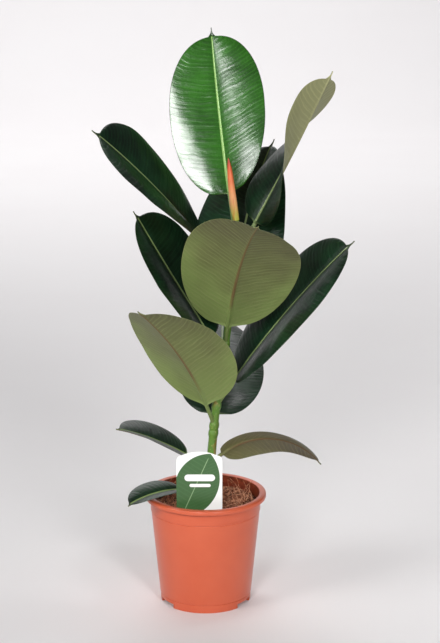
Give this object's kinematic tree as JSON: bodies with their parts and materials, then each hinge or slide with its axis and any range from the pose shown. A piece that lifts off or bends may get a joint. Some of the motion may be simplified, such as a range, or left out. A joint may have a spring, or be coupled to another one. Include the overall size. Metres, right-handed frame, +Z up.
{
  "type": "potted rubber plant",
  "caption": "Rubber plant with broad oval glossy leaves on one upright stem, growing in a tapered round plastic nursery pot with potting mix and a plant label.",
  "frame": {"origin": "centre of the pot's base, on the floor it stands on", "axes": "+Z up along the pot's axis, -Y towards the label's side, +X to the right of someone who faces the label"},
  "size_m": [0.3446, 0.4323, 0.7903],
  "materials": {
    "pot": "satin terracotta-coloured moulded plastic",
    "potting_mix": "rough peat and coir fibre",
    "stem": "matt green bark, browner low down",
    "bud_sheath": "smooth waxy, yellow-green to red",
    "label": "white printed plastic card",
    "old_leaf": "waxy gloss above, matt olive below",
    "young_leaf": "waxy gloss above, matt olive below"
  },
  "bodies": {
    "root": {"pot": "pot", "potting_mix": "potting_mix", "stem": "stem", "bud_sheath": "bud_sheath", "label": "label", "leaf_01_lowest_left": "old_leaf", "leaf_02_low_right": "old_leaf", "leaf_03_low_left": "old_leaf", "leaf_04_back_low": "old_leaf", "leaf_05_front_left": "old_leaf", "leaf_06_right": "old_leaf", "leaf_07_left": "old_leaf", "leaf_08_front": "old_leaf", "leaf_09_back_high": "old_leaf", "leaf_10_upper_left": "old_leaf", "leaf_11_upper_right": "old_leaf", "leaf_12_top": "young_leaf"}
  },
  "joints": []
}
